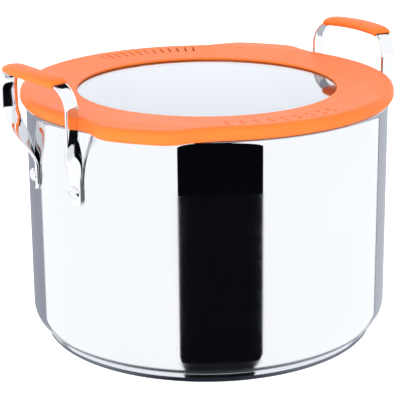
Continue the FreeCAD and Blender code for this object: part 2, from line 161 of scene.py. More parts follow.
def smooth(fraction):
    """0 to 1 with no slope at either end."""
    bounded = np.clip(fraction, 0.0, 1.0)
    return bounded * bounded * (3 - 2 * bounded)


def polar(radius, degrees, height=0.0):
    """Points at radii and angles round the pot's axis."""
    turn = np.radians(degrees)
    return np.stack(np.broadcast_arrays(radius * np.cos(turn), radius * np.sin(turn), height), -1)


def rounded(corners, radii, closed=False, steps=12):
    """Line through corners, each turned by an arc of its own radius.

    At a corner P, a and b are the unit ways to its neighbours and h is half the angle
    between them. The arc's centre is P + (a + b)/|a + b| * r/sin h and it starts and
    ends r/tan h from P. One more point beside each end of an arc keeps the flats flat."""
    corners = np.asarray(corners, float)
    here = corners if closed else corners[1:-1]
    to_last = np.roll(corners, 1, 0) - corners
    to_next = np.roll(corners, -1, 0) - corners
    if not closed:
        to_last, to_next = to_last[1:-1], to_next[1:-1]
    a, b = unit(to_last), unit(to_next)
    radius = np.broadcast_to(radii, len(here))[:, None]
    half = np.arccos(np.clip((a * b).sum(1, keepdims=True), -1, 1)) / 2
    sweep = (np.pi - 2 * half)[:, None]
    setback = radius / np.tan(half)
    centre = here + unit(a + b) * radius / np.sin(half)
    first, last = here + a * setback - centre, here + b * setback - centre
    share = np.linspace(0, 1, steps + 1)[None, :, None]
    arcs = centre[:, None] + (
        np.sin((1 - share) * sweep) * first[:, None]
        + np.sin(share * sweep) * last[:, None]) / np.sin(sweep)
    beside = np.minimum(0.3, 0.3 * radius)
    line = np.concatenate([
        (here + a * (setback + beside))[:, None], arcs,
        (here + b * (setback + beside))[:, None]], 1).reshape(-1, corners.shape[1])
    return line if closed else np.concatenate([corners[:1], line, corners[-1:]])


def turned(line, around=256):
    """Surface of revolution: (r, z) of the line at angle t is (r cos t, r sin t, z)."""
    angles = np.arange(around) * 360 / around
    return polar(line[:, :1], angles[None], line[:, 1:])


def oval(width, thickness, squareness, around=48):
    """Superellipse: (w/2 |cos t|^(2/n), h/2 |sin t|^(2/n)) with the signs of cos and sin."""
    turn = (np.arange(around) + 0.5) * 2 * np.pi / around
    cosine, sine = np.cos(turn), np.sin(turn)
    power = 2 / squareness
    return np.stack([width / 2 * np.sign(cosine) * np.abs(cosine) ** power,
                     thickness / 2 * np.sign(sine) * np.abs(sine) ** power], -1)


def swept(path, across, through, section):
    """Section carried along a path: point (u, v) goes to P + u across + v through.
    The section is one line of (u, v) or one line for each point of the path."""
    section = np.broadcast_to(section, (len(path),) + section.shape[-2:])
    return (path[:, None] + across[:, None] * section[..., :1]
            + through[:, None] * section[..., 1:])


def turned_about_axis(points, degrees):
    """Points turned about the pot's axis."""
    turn = np.radians(degrees)
    cosine, sine = np.cos(turn), np.sin(turn)
    return points @ np.array([[cosine, sine, 0], [-sine, cosine, 0], [0, 0, 1]])


def with_poles(grid):
    """Grid whose first and last rows are gathered to their middles, so its ends close."""
    first = np.broadcast_to(grid[:1].mean(1, keepdims=True), grid[:1].shape)
    last = np.broadcast_to(grid[-1:].mean(1, keepdims=True), grid[-1:].shape)
    return np.concatenate([first, grid, last])


# ------------------------------------------------------------------------- meshes

def signed_volume(quads):
    """Volume inside closed quads: the sum of a . (b x c) / 6 over their two triangles."""
    a, b, c, d = (quads[:, index] for index in range(4))
    return ((a * np.cross(b, c)).sum() + (a * np.cross(c, d)).sum()) / 6


def mesh_from_grids(name, grids):
    """Object whose faces join neighbouring points of each grid.

    A grid is (points, looped): its columns always close on themselves, and its rows do
    if looped, or else end in poles. Faces are turned over if the volume they enclose
    comes out negative, so that they point outwards. The map 'lay' holds each corner's
    distance along the rows and round the columns, in metres."""
    points, faces, lay, base = [], [], [], 0
    for grid, looped in grids:
        rows, columns = grid.shape[:2]
        row, column = np.meshgrid(np.arange(rows if looped else rows - 1),
                                  np.arange(columns), indexing="ij")
        row_of = np.stack([row, row, row + 1, row + 1], -1)
        column_of = np.stack([column, column + 1, column + 1, column], -1)
        corners = ((row_of % rows) * columns + column_of % columns).reshape(-1, 4)
        turns_in = signed_volume(grid.reshape(-1, 3)[corners]) < 0
        faces.append(base + (corners[:, ::-1] if turns_in else corners))
        ahead = np.linalg.norm(np.roll(grid, -1, 0) - grid, axis=-1).mean(1)
        beside = np.linalg.norm(np.roll(grid, -1, 1) - grid, axis=-1).max(0)
        along, sideways = (np.concatenate([[0], np.cumsum(d)]) * MM for d in (ahead, beside))
        spread = np.stack([along[row_of], sideways[column_of]], -1).reshape(-1, 4, 2)
        lay.append(spread[:, ::-1] if turns_in else spread)
        points.append(grid.reshape(-1, 3))
        base += rows * columns
    mesh = bpy.data.meshes.new(name)
    mesh.from_pydata(np.concatenate(points) * MM, [], np.concatenate(faces))
    layer = mesh.uv_layers.new(name="lay")
    layer.data.foreach_set("uv", np.concatenate(lay).astype(np.float32).ravel())
    welded = bmesh.new()
    welded.from_mesh(mesh)
    bmesh.ops.remove_doubles(welded, verts=welded.verts, dist=1e-7)
    welded.to_mesh(mesh)
    welded.free()
    finish_shading(mesh)
    made = bpy.data.objects.new(name, mesh)
    bpy.context.scene.collection.objects.link(made)
    return made


def finish_shading(mesh):
    """Smooth everywhere but across true edges."""
    mesh.shade_smooth()
    mesh.set_sharp_from_angle(angle=np.radians(40))


def fit_piece(made, body, slot, finish, *stands_for):
    """Gives a piece its finish and its body, and hides the CAD nodes it stands for."""
    made.data.materials.clear()
    made.data.materials.append(finish)
    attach(made, body)
    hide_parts(*stands_for)


# ---------------------------------------------------------------------- materials

def linear(code, opacity=1.0):
    """Linear colour of an sRGB hex code."""
    srgb = np.array([int(code[i:i + 2], 16) for i in (1, 3, 5)]) / 255
    return (*np.where(srgb <= 0.04045, srgb / 12.92, ((srgb + 0.055) / 1.055) ** 2.4), opacity)


def add(tree, kind, settings=None, inputs=None):
    """Adds a node, sets its properties, and fills or links its inputs. A node given as
    an input is linked from its first output."""
    made = tree.nodes.new(kind)
    for name, value in (settings or {}).items():
        setattr(made, name, value)
    for socket, value in (inputs or {}).items():
        if isinstance(value, bpy.types.Node):
            value = value.outputs[0]
        if isinstance(value, bpy.types.NodeSocket):
            tree.links.new(value, made.inputs[socket])
        else:
            made.inputs[socket].default_value = value
    return made


def blank_material(name):
    """Empty material with its node tree."""
    made = bpy.data.materials.new(name)
    made.use_nodes = True
    made.node_tree.nodes.clear()
    return made, made.node_tree


def close_material(tree, shader):
    add(tree, "ShaderNodeOutputMaterial", inputs={"Surface": shader})


def polished_and_satin_18_10_steel():
    """Drawn 18/10 stainless steel. Outside, a buffed belt under the rim mirrors sharply,
    and the rest is finely ground round the pot, so edges in it blur and streak level.
    Inside it is satin."""
    made, tree = blank_material("polished_and_satin_18_10_steel")
    place = add(tree, "ShaderNodeTexCoord").outputs["Object"]
    height = add(tree, "ShaderNodeSeparateXYZ", inputs={0: place}).outputs["Z"]
    flat = add(tree, "ShaderNodeVectorMath", {"operation": "MULTIPLY"},
               {0: place, 1: (1, 1, 0)})
    radius = add(tree, "ShaderNodeVectorMath", {"operation": "LENGTH"},
                 {0: flat}).outputs["Value"]
    # Grinding lines 0.1 mm apart, drawn 1.2 mm apart so that they show, and 90 mm long.
    stretched = add(tree, "ShaderNodeVectorMath", {"operation": "MULTIPLY"},
                    {0: place, 1: (1 / 0.09, 1 / 0.09, 1 / 0.0012)})
    lines = add(tree, "ShaderNodeTexNoise", inputs={
        "Vector": stretched, "Scale": 1.0, "Detail": 3.0, "Roughness": 0.6})
    # Slow unevenness of the press and the buffing wheel, 70 mm across.
    waves = add(tree, "ShaderNodeTexNoise", inputs={
        "Vector": place, "Scale": 14.0, "Detail": 1.0})
    satin = add(tree, "ShaderNodeMapRange", inputs={
        "Value": lines, "From Min": 0.3, "From Max": 0.7, "To Min": 0.05, "To Max": 0.1})
    buffed = add(tree, "ShaderNodeMapRange", inputs={
        "Value": waves, "From Min": 0.3, "From Max": 0.7, "To Min": 0.02, "To Max": 0.04})
    in_belt = add(tree, "ShaderNodeMapRange", {"interpolation_type": "SMOOTHSTEP"}, {
        "Value": height, "From Min": (POLISHED_ABOVE - 0.25) * MM,
        "From Max": (POLISHED_ABOVE + 0.25) * MM})
    outside = add(tree, "ShaderNodeMapRange", {"interpolation_type": "SMOOTHSTEP"}, {
        "Value": radius, "From Min": (POT_BORE + 0.1) * MM, "From Max": (POT_BORE + 0.5) * MM})
    wall = add(tree, "ShaderNodeMix", {"data_type": "FLOAT"},
               {0: in_belt, 2: satin, 3: buffed})
    rough = add(tree, "ShaderNodeMix", {"data_type": "FLOAT"}, {0: outside, 2: 0.24, 3: wall})
    relief = add(tree, "ShaderNodeBump", inputs={
        "Strength": 0.05, "Distance": 0.00002, "Height": lines})
    tone = add(tree, "ShaderNodeMix", {"data_type": "RGBA"}, {
        0: waves, 6: linear("#DCDDDF"), 7: linear("#E1E2E4")}).outputs[2]
    shader = add(tree, "ShaderNodeBsdfPrincipled", inputs={
        "Base Color": tone, "Metallic": 1.0, "Roughness": rough, "Normal": relief})
    close_material(tree, shader)
    return made


def spun_430_steel():
    """Magnetic 430 steel of the base cap, turned on a lathe: fine rings round the axis
    that catch the light as spokes."""
    made, tree = blank_material("spun_430_steel")
    place = add(tree, "ShaderNodeTexCoord").outputs["Object"]
    flat = add(tree, "ShaderNodeVectorMath", {"operation": "MULTIPLY"},
               {0: place, 1: (1, 1, 0)})
    radius = add(tree, "ShaderNodeVectorMath", {"operation": "LENGTH"},
                 {0: flat}).outputs["Value"]
    # Tool marks 0.3 mm apart, drawn 0.9 mm apart so that they show.
    rings = add(tree, "ShaderNodeTexNoise", {"noise_dimensions": "1D"}, {
        "W": radius, "Scale": 1 / 0.0009, "Detail": 2.0})
    rough = add(tree, "ShaderNodeMapRange", inputs={
        "Value": rings, "From Min": 0.3, "From Max": 0.7, "To Min": 0.1, "To Max": 0.24})
    relief = add(tree, "ShaderNodeBump", inputs={
        "Strength": 0.3, "Distance": 0.00003, "Height": rings})
    tone = add(tree, "ShaderNodeMix", {"data_type": "RGBA"}, {
        0: rings, 6: linear("#C9CCD1"), 7: linear("#D8DADE")}).outputs[2]
    shader = add(tree, "ShaderNodeBsdfPrincipled", inputs={
        "Base Color": tone, "Metallic": 1.0, "Roughness": rough, "Normal": relief})
    close_material(tree, shader)
    return made


def drawn_aluminium():
    """Cold-rolled aluminium disc inside the base: soft grey with straight rolling grain."""
    made, tree = blank_material("drawn_aluminium")
    place = add(tree, "ShaderNodeTexCoord").outputs["Object"]
    # Rolling grain 0.5 mm wide and 40 mm long.
    stretched = add(tree, "ShaderNodeVectorMath", {"operation": "MULTIPLY"},
                    {0: place, 1: (1 / 0.04, 1 / 0.0005, 1 / 0.0005)})
    grain = add(tree, "ShaderNodeTexNoise", inputs={
        "Vector": stretched, "Scale": 1.0, "Detail": 2.0})
    rough = add(tree, "ShaderNodeMapRange", inputs={
        "Value": grain, "From Min": 0.3, "From Max": 0.7, "To Min": 0.3, "To Max": 0.45})
    tone = add(tree, "ShaderNodeMix", {"data_type": "RGBA"}, {
        0: grain, 6: linear("#C7C8CA"), 7: linear("#D9DADB")}).outputs[2]
    shader = add(tree, "ShaderNodeBsdfPrincipled", inputs={
        "Base Color": tone, "Metallic": 1.0, "Roughness": rough})
    close_material(tree, shader)
    return made


def bright_steel(name, tone_dark, tone_light, gloss, grain_width):
    """Stainless steel brightened along its length: near a mirror, with faint marks that
    run with the strip or wire. The marks' width is in millimetres."""
    made, tree = blank_material(name)
    lay = add(tree, "ShaderNodeUVMap", {"uv_map": "lay"})
    stretched = add(tree, "ShaderNodeVectorMath", {"operation": "MULTIPLY"},
                    {0: lay, 1: (1 / 0.025, 1 / (grain_width * MM), 1)})
    marks = add(tree, "ShaderNodeTexNoise", inputs={
        "Vector": stretched, "Scale": 1.0, "Detail": 2.0})
    rough = add(tree, "ShaderNodeMapRange", inputs={
        "Value": marks, "From Min": 0.3, "From Max": 0.7,
        "To Min": gloss, "To Max": gloss * 1.8})
    tone = add(tree, "ShaderNodeMix", {"data_type": "RGBA"}, {
        0: marks, 6: linear(tone_dark), 7: linear(tone_light)}).outputs[2]
    shader = add(tree, "ShaderNodeBsdfPrincipled", inputs={
        "Base Color": tone, "Metallic": 1.0, "Roughness": rough})
    close_material(tree, shader)
    return made


def moulded_orange_silicone():
    """Platinum-cured food silicone from a fine-blasted mould: soft, nearly matt, a little
    light passing through its edges, and a slight bloom that varies its sheen."""
    made, tree = blank_material("moulded_orange_silicone")
    place = add(tree, "ShaderNodeTexCoord").outputs["Object"]
    # Blasted mould grain 0.25 mm, drawn 0.8 mm so that it shows.
    grain = add(tree, "ShaderNodeTexNoise", inputs={
        "Vector": place, "Scale": 1 / 0.0008, "Detail": 2.0})
    # Pigment and bloom vary over 25 mm.
    bloom = add(tree, "ShaderNodeTexNoise", inputs={
        "Vector": place, "Scale": 1 / 0.025, "Detail": 3.0})
    tone = add(tree, "ShaderNodeMix", {"data_type": "RGBA"}, {
        0: bloom, 6: linear("#E06A28"), 7: linear("#E67230")}).outputs[2]
    rough = add(tree, "ShaderNodeMapRange", inputs={
        "Value": bloom, "From Min": 0.3, "From Max": 0.7, "To Min": 0.48, "To Max": 0.6})
    relief = add(tree, "ShaderNodeBump", inputs={
        "Strength": 0.15, "Distance": 0.00005, "Height": grain})
    shader = add(tree, "ShaderNodeBsdfPrincipled", inputs={
        "Base Color": tone, "Roughness": rough, "Normal": relief, "IOR": 1.41,
        "Specular IOR Level": 0.14, "Subsurface Weight": 0.12,
        "Subsurface Radius": (1.0, 0.35, 0.12), "Subsurface Scale": 0.0025})
    close_material(tree, shader)
    return made


def tempered_soda_lime_glass():
    """Float glass, ground at its edge and tempered: clear, faintly green through its
    thickness, mirroring strongly at low angles, with a trace of wiping on it."""
    made, tree = blank_material("tempered_soda_lime_glass")
    place = add(tree, "ShaderNodeTexCoord").outputs["Object"]
    # Wiping marks 30 mm across.
    wiping = add(tree, "ShaderNodeTexNoise", inputs={
        "Vector": place, "Scale": 1 / 0.03, "Detail": 2.0})
    rough = add(tree, "ShaderNodeMapRange", inputs={
        "Value": wiping, "From Min": 0.35, "From Max": 0.7, "To Min": 0.0, "To Max": 0.02})
    tone = add(tree, "ShaderNodeMix", {"data_type": "RGBA"}, {
        0: wiping, 6: linear("#EAF1F5"), 7: linear("#EEF4F7")}).outputs[2]
    shader = add(tree, "ShaderNodeBsdfPrincipled", inputs={
        "Base Color": tone, "Roughness": rough, "IOR": 1.52, "Transmission Weight": 1.0})
    close_material(tree, shader)
    return made


# ------------------------------------------------------------------- pot and base

def pot_shell():
    """Drawn shell, turned from one line: under the bottom, round the corner, up the wall,
    out over the flared lip and back down inside."""
    flare = np.radians(FLARE_ANGLE)
    flare_start = RIM_HEIGHT - (FLARE_RADIUS + POT_WALL) * np.sin(flare)
    centre = np.array([POT_RADIUS + FLARE_RADIUS, flare_start])
    way = np.array([-np.cos(flare), np.sin(flare)])
    rise = np.tan(flare / 2)
    inner_flare = FLARE_RADIUS + POT_WALL
    line = rounded(
        [(0, BASE_TOP), (POT_RADIUS, BASE_TOP), (POT_RADIUS, flare_start + FLARE_RADIUS * rise),
         centre + way * FLARE_RADIUS, centre + way * inner_flare,
         (POT_BORE, flare_start + inner_flare * rise), (POT_BORE, POT_FLOOR), (0, POT_FLOOR)],
        [CORNER_RADIUS, FLARE_RADIUS, LIP_ROUNDING, LIP_ROUNDING, inner_flare,
         CORNER_RADIUS - POT_WALL], steps=20)
    return [(turned(line, 320), False)]


def base_cap_shell():
    """Shallow dish, turned from its section; its edge ends on the pot's round corner."""
    inner = CAP_RADIUS - CAP_THICKNESS
    corner = np.array([POT_RADIUS - CORNER_RADIUS, BASE_TOP + CORNER_RADIUS])
    meets = corner[1] - np.sqrt(CORNER_RADIUS ** 2 - (CAP_RADIUS - corner[0]) ** 2)
    line = rounded(
        [(0, 0), (CAP_RADIUS, 0), (CAP_RADIUS, meets + 0.1), (inner, meets - 0.1),
         (inner, CAP_THICKNESS), (0, CAP_THICKNESS)],
        [CAP_EDGE_RADIUS, 0.22, 0.2, CAP_EDGE_RADIUS - CAP_THICKNESS])
    return [(turned(line), False)]


# ------------------------------------------------------------------------ handles

def bar_height(degrees):
    """Height of the top bar's middle line: an arch 1 - s^2 from leg to leg, with s from
    the middle to a leg, less a quarter circle round the bend."""
    away = np.abs(degrees)
    arch = BAR_ARCH * (1 - (away / LEG_ANGLE) ** 2)
    across = np.clip(1 - (LEG_ANGLE - away) / BEND_TURN, 0, 1)
    return BAR_HEIGHT + arch - STRAP_BEND_RADIUS * (1 - np.sqrt(1 - across ** 2))


def half_strap():
    """Crowned strap from an ear to the middle of the bar. Along the leg a share s of the
    rise moves it out and round by smooth(s / LEG_SWING_SHARE) and twists it by
    90 smooth(s / LEG_TWIST_SHARE) degrees; the bend is a quarter circle on the cylinder
    that the bar follows."""
    half_width = STRAP_WIDTH / 2
    tip = half_width * (1 - np.cos(np.linspace(0.12, np.pi / 2, 14)))
    ear = np.concatenate([EAR_BOTTOM + tip, np.linspace(EAR_BOTTOM + half_width, EAR_TOP, 6)[1:]])
    rise = np.linspace(0, 1, 60)[1:]
    swing = smooth(rise / LEG_SWING_SHARE)
    turn = np.linspace(0, np.pi / 2, 18)[1:]
    bar_end = LEG_ANGLE - BEND_TURN
    bar = np.linspace(bar_end, 0, 16)[1:]
    bend_start = BAR_HEIGHT - STRAP_BEND_RADIUS
    angle = np.concatenate([
        np.full(len(ear), RIVET_ANGLE), RIVET_ANGLE + (LEG_ANGLE - RIVET_ANGLE) * swing,
        LEG_ANGLE - BEND_TURN * (1 - np.cos(turn)), bar])
    radius = np.concatenate([
        np.full(len(ear), EAR_RADIUS), EAR_RADIUS + (STRAP_RADIUS - EAR_RADIUS) * swing,
        np.full(len(turn) + len(bar), STRAP_RADIUS)])
    height = np.concatenate([
        ear, EAR_TOP + (bend_start - EAR_TOP) * rise,
        bar_height(LEG_ANGLE - BEND_TURN * (1 - np.cos(turn))), bar_height(bar)])
    twist = np.radians(np.concatenate([
        np.zeros(len(ear)), 90 * smooth(rise / LEG_TWIST_SHARE), np.full(len(turn) + len(bar), 90.0)]))
    path = polar(radius, angle, height)
    along = unit(np.gradient(path, axis=0))
    along[-1] = (0, -1, 0)
    across = (polar(1, angle + 90) * np.cos(twist)[:, None]
              - polar(1, angle) * np.sin(twist)[:, None])
    across = unit(across - along * (across * along).sum(1, keepdims=True))
    through = np.cross(across, along)
    from_tip = height - EAR_BOTTOM
    narrowing = np.sqrt(np.clip(1 - (1 - np.clip(from_tip / half_width, 0, 1)) ** 2, 0, 1))
    thinning = (1 - (1 - np.clip(from_tip / EAR_EDGE, 0, 1)) ** 2.5) ** 0.4
    section = oval(STRAP_WIDTH, STRAP_THICKNESS, STRAP_SQUARENESS)
    sizes = np.stack([narrowing, thinning], -1)[:, None]
    return swept(path, across, through, section * sizes)


def strap_shell(degrees):
    """The half strap and its mirror image in one run, closed at both ears."""
    half = half_strap()
    other = half[-2::-1] * np.array([1, -1, 1])
    return [(turned_about_axis(with_poles(np.concatenate([half, other])), degrees), False)]


def grip_shell(degrees):
    """Sleeve round the bar: an oval that follows the bar's middle line, slimmer towards
    its ends, which are rounded in by a quarter ellipse, then back through a bore round
    the strap."""
    share = -np.cos(np.linspace(0, np.pi, 81))
    slimming = smooth((np.abs(share) - GRIP_SLIMS_FROM) / (1 - GRIP_SLIMS_FROM))
    past = (np.abs(share) - GRIP_ROUNDS_FROM) / (1 - GRIP_ROUNDS_FROM)
    easing = 1 - np.sqrt(1 - np.clip(past, 0, 1) ** 2)
    path = polar(STRAP_RADIUS, GRIP_ANGLE * share, bar_height(GRIP_ANGLE * share))
    along = unit(np.gradient(path, axis=0))
    out = polar(1, GRIP_ANGLE * share)
    up = np.cross(out, along)
    sizes = np.stack([1 - 0.1 * slimming - 0.12 * easing,
                      1 - 0.06 * slimming - 0.36 * easing], -1)[:, None]
    outer = swept(path, out, up, oval(GRIP_WIDTH, GRIP_THICKNESS, GRIP_SQUARENESS) * sizes)
    bore = swept(path, out, up, oval(STRAP_WIDTH + 0.1, STRAP_THICKNESS + 0.1, STRAP_SQUARENESS))
    return [(turned_about_axis(np.concatenate([outer, bore[::-1]]), degrees), True)]


def rivet_shell(degrees):
    """Rivet turned about its own axis, which points out from the pot's: domed head,
    shank through strap and wall, low tail inside."""
    def dome(radius, base, height):
        """Spherical cap: radius r of its base and height h give a sphere (r^2 + h^2) / 2h."""
        sphere = (radius ** 2 + height ** 2) / (2 * abs(height))
        edge = np.arcsin(min(radius / sphere, 1.0))
        sweep = np.linspace(edge, 0, 14)
        return np.stack([sphere * np.sin(sweep),
                         base + np.sign(height) * (abs(height) - sphere * (1 - np.cos(sweep)))], -1)

    head = dome(HEAD_RADIUS, EAR_FACE + HEAD_RIM, HEAD_HEIGHT - HEAD_RIM)
    tail = dome(TAIL_RADIUS, POT_BORE - TAIL_RIM, TAIL_RIM - TAIL_HEIGHT)[::-1]
    line = np.concatenate([
        tail, [(TAIL_RADIUS, POT_BORE + 0.05), (SHANK_RADIUS, POT_BORE + 0.05),
               (SHANK_RADIUS, EAR_FACE - HEAD_SINK), (HEAD_RADIUS - 0.15, EAR_FACE - HEAD_SINK),
               (HEAD_RADIUS, EAR_FACE)], head])
    grid = turned(line, 48)
    across, up, out = grid[..., 0], grid[..., 1], grid[..., 2]
    placed = np.stack([out, across, up + RIVET_HEIGHT], -1)
    return [(turned_about_axis(placed, degrees), False)]


# ---------------------------------------------------------------------------- lid

def ring_edge(angles):
    """Radius of the ring's outline at each angle. A lip is level within its half angle,
    then follows an arc outside its shoulder and an arc inside the hollow beyond: on a
    ray at D degrees from an arc's centre, which is c out with radius b, the outline is
    at c cos D +- sqrt(b^2 - c^2 sin^2 D)."""
    reach = RING_RADIUS + LIP_REACH
    between = LIP_SHOULDER_RADIUS + LIP_HOLLOW_RADIUS
    outer, inner = reach - LIP_SHOULDER_RADIUS, RING_RADIUS + LIP_HOLLOW_RADIUS
    swing = np.degrees(np.arccos(
        (outer ** 2 + inner ** 2 - between ** 2) / (2 * outer * inner)))
    away = np.abs((angles + 90) % 180 - 90)

    def arc(centre, middle, radius, side):
        turn = np.radians(away - middle)
        inside = radius ** 2 - (centre * np.sin(turn)) ** 2
        return centre * np.cos(turn) + side * np.sqrt(np.clip(inside, 0, None))

    shoulder = arc(outer, LIP_HALF_ANGLE, LIP_SHOULDER_RADIUS, 1)
    hollow = arc(inner, LIP_HALF_ANGLE + swing, LIP_HOLLOW_RADIUS, -1)
    share = LIP_SHOULDER_RADIUS / between
    meeting = (1 - share) * polar(outer, 0.0) + share * polar(inner, swing)
    halfway = LIP_HALF_ANGLE + np.degrees(np.arctan2(meeting[1], meeting[0]))
    edge = np.where(away < halfway, shoulder, hollow)
    edge = np.where(away < LIP_HALF_ANGLE, reach, edge)
    return np.where(away > LIP_HALF_ANGLE + swing, RING_RADIUS, edge)


def ring_blank():
    """The ring before its holes. Its closed section is carried round the axis; the part
    outside the collar keeps its distance from the outline instead, measured square to
    it, so that the lips' edges are as round as the rest."""
    glass_low, glass_top = GLASS_LOW[2], GLASS_HIGH[2]
    inner_top = RING_TOP - RING_TOP_FALL
    section = rounded(
        [(WINDOW_RADIUS, inner_top), (COLLAR_RADIUS, RING_TOP), (RING_RADIUS, RING_TOP),
         (RING_RADIUS, RING_BOTTOM), (COLLAR_RADIUS, RING_BOTTOM),
         (COLLAR_RADIUS, COLLAR_BOTTOM), (COLLAR_BORE, COLLAR_BOTTOM),
         (COLLAR_BORE, WEB_BOTTOM), (GLASS_RADIUS + 4, WEB_BOTTOM),
         (GLASS_RADIUS + 4, RING_BOTTOM), (WINDOW_RADIUS, RING_BOTTOM),
         (WINDOW_RADIUS, glass_low), (GLASS_RADIUS, glass_low), (GLASS_RADIUS, glass_top),
         (WINDOW_RADIUS, glass_top)],
        [1.2, 2.0, RING_EDGE_RADIUS, RING_EDGE_RADIUS, 0.3, 0.9, 0.9, 0.8, 0.5, 0.4,
         0.4, 0.15, 0.1, 0.1, 0.2], closed=True, steps=8)
    angles = np.arange(720) * 0.5
    edge = polar(ring_edge(angles), angles)
    way = unit(np.roll(edge, -1, 0) - np.roll(edge, 1, 0))
    outward = np.stack([way[:, 1], -way[:, 0], np.zeros(len(way))], -1)
    radius, height = section[:, :1], section[:, 1:]
    round_part = polar(radius, angles[None], height)
    lip_part = edge[None] - outward[None] * (RING_RADIUS - radius)[..., None]
    lip_part[..., 2] = height
    outside = (radius > COLLAR_RADIUS + 0.5)[..., None]
    grid = np.where(outside, lip_part, round_part)
    return [(turned_about_axis(grid, LID_TURN), True)]


def strainer_cutters():
    """Tapered pins: round ones in two rows, and flat-sided ones in a fan. Each has its
    section at four heights, wider where it breaks the top, so the edges are eased."""
    def top_of_ring(radius):
        return RING_TOP - RING_TOP_FALL * (COLLAR_RADIUS - radius) / (
            COLLAR_RADIUS - WINDOW_RADIUS)

    def pin(section, radius, degrees):
        """Section of (outward, sideways) offsets from a point on the ring."""
        top = top_of_ring(radius)
        heights = np.array([RING_BOTTOM - 2, top - 0.45, top - 0.12, top + 0.1, top + 2])
        easing = np.array([0, 0, 0.12, 0.35, 0.35])
        spread = section + unit(section)[None] * easing[:, None, None]
        grid = np.concatenate([
            spread + np.array([radius, 0]),
            np.broadcast_to(heights[:, None, None], spread.shape[:2] + (1,))], -1)
        return turned_about_axis(with_poles(grid), degrees + LID_TURN), False

    turn = np.arange(24) * 2 * np.pi / 24
    circle = HOLE_RADIUS * np.stack([np.cos(turn), np.sin(turn)], -1)
    half_length, half_width = SLOT_LENGTH / 2, SLOT_WIDTH / 2
    slot = rounded([(half_length, half_width), (-half_length, half_width),
                    (-half_length, -half_width), (half_length, -half_width)],
                   half_width * 0.8, closed=True, steps=5)
    places = [(circle, OUTER_HOLE_ROW - row * HOLE_ROW_SPACING,
               HOLE_MIDDLE_ANGLE + (index - (HOLE_PAIRS - 1) / 2) * HOLE_PITCH)
              for index in range(HOLE_PAIRS) for row in range(2)]
    places += [(slot, OUTER_HOLE_ROW + HOLE_RADIUS - half_length,
                SLOT_MIDDLE_ANGLE + (index - (SLOT_COUNT - 1) / 2) * SLOT_PITCH)
               for index in range(SLOT_COUNT)]
    return [pin(*place) for place in places]


def cut_away(made, cutters):
    """Takes the cutters' volume out of a piece, for good."""
    cut = made.modifiers.new("strainer", "BOOLEAN")
    cut.operation, cut.solver, cut.object = "DIFFERENCE", "MANIFOLD", cutters
    graph = bpy.context.evaluated_depsgraph_get()
    result = bpy.data.meshes.new_from_object(made.evaluated_get(graph))
    made.modifiers.clear()
    made.data = result
    made.data.name = made.name
    bpy.data.objects.remove(cutters)
    finish_shading(made.data)


def glass_disc():
    """Flat disc with a ground, rounded edge, turned from its section."""
    bottom, top = GLASS_LOW[2] + GLASS_PLAY, GLASS_HIGH[2] - GLASS_PLAY
    radius = GLASS_RADIUS - GLASS_PLAY
    line = rounded([(0, bottom), (radius, bottom), (radius, top), (0, top)], [0.8, 0.8])
    return [(turned(line), False)]


# --------------------------------------------------------------------------- rack

def wire(path, side, looped=False, around=20):
    """Round wire along a path that stays in a plane; side is square to that plane. An
    open wire's ends are domed: at t degrees past the end its radius is r cos t."""
    along = unit(np.gradient(path, axis=0))
    if looped:
        along = unit(np.roll(path, -1, 0) - np.roll(path, 1, 0))
    size = np.ones(len(path))
    if not looped:
        past = np.radians([75, 50, 25])
        reach = 0.4 * WIRE_RADIUS * np.sin(past)[:, None]
        path = np.concatenate([path[:1] - along[:1] * reach, path,
                               path[-1:] + along[-1:] * reach[::-1]])
        along = np.concatenate([along[[0] * 3], along, along[[-1] * 3]])
        size = np.concatenate([np.cos(past), size, np.cos(past)[::-1]])
    side = np.broadcast_to(np.asarray(side, float), along.shape)
    section = oval(2 * WIRE_RADIUS, 2 * WIRE_RADIUS, 2, around) * size[:, None, None]
    grid = swept(path, side, np.cross(side, along), section)
    return (grid, True) if looped else (with_poles(grid), False)


def hoop(radius):
    """Wire ring at the height of the deck."""
    return [wire(polar(radius, np.arange(180) * 2.0, DECK_HEIGHT), (0, 0, 1), looped=True)]


def weld_bead(centre, size):
    """Small ellipsoid of weld metal where two wires cross."""
    rise = np.linspace(-90, 90, 11)
    line = np.stack([np.cos(np.radians(rise)), np.sin(np.radians(rise))], -1)
    return turned(line, 20) * np.asarray(size, float) + centre, False


def spoke(degrees):
    """Straight wire laid across both hoops, with a weld at each."""
    height = DECK_HEIGHT + 2 * WIRE_RADIUS - WELD_DEPTH
    reach = np.linspace(SPOKE_START, RACK_RADIUS, 12)
    line = polar(reach, degrees, height)
    seam = DECK_HEIGHT + WIRE_RADIUS - WELD_DEPTH / 2
    beads = [weld_bead(polar(radius, degrees, seam), (2.1, 2.1, 0.9))
             for radius in (HUB_RADIUS, RACK_RADIUS - 0.4)]
    return [wire(line, (0, 0, 1))] + beads


def hoop_loop(degrees, half_width, height):
    """U of wire welded to the outer hoop at both feet, up or down to a height."""
    reach = np.sqrt(RACK_RADIUS ** 2 - half_width ** 2)
    towards = 1 if height > DECK_HEIGHT else -1
    foot = DECK_HEIGHT + towards * (WIRE_RADIUS - WELD_DEPTH)
    bend = min(LOOP_BEND_RADIUS, 0.45 * abs(height - foot))
    path = rounded([(reach, -half_width, foot), (reach, -half_width, height),
                    (reach, half_width, height), (reach, half_width, foot)], bend)
    beads = [weld_bead((reach, side * half_width, foot), (2.2, 2.2, 0.8)) for side in (-1, 1)]
    return [(turned_about_axis(grid, degrees), looped)
            for grid, looped in [wire(path, (1, 0, 0))] + beads]


# ----------------------------------------------------------------------- assembly

pot_steel = polished_and_satin_18_10_steel()
cap_steel = spun_430_steel()
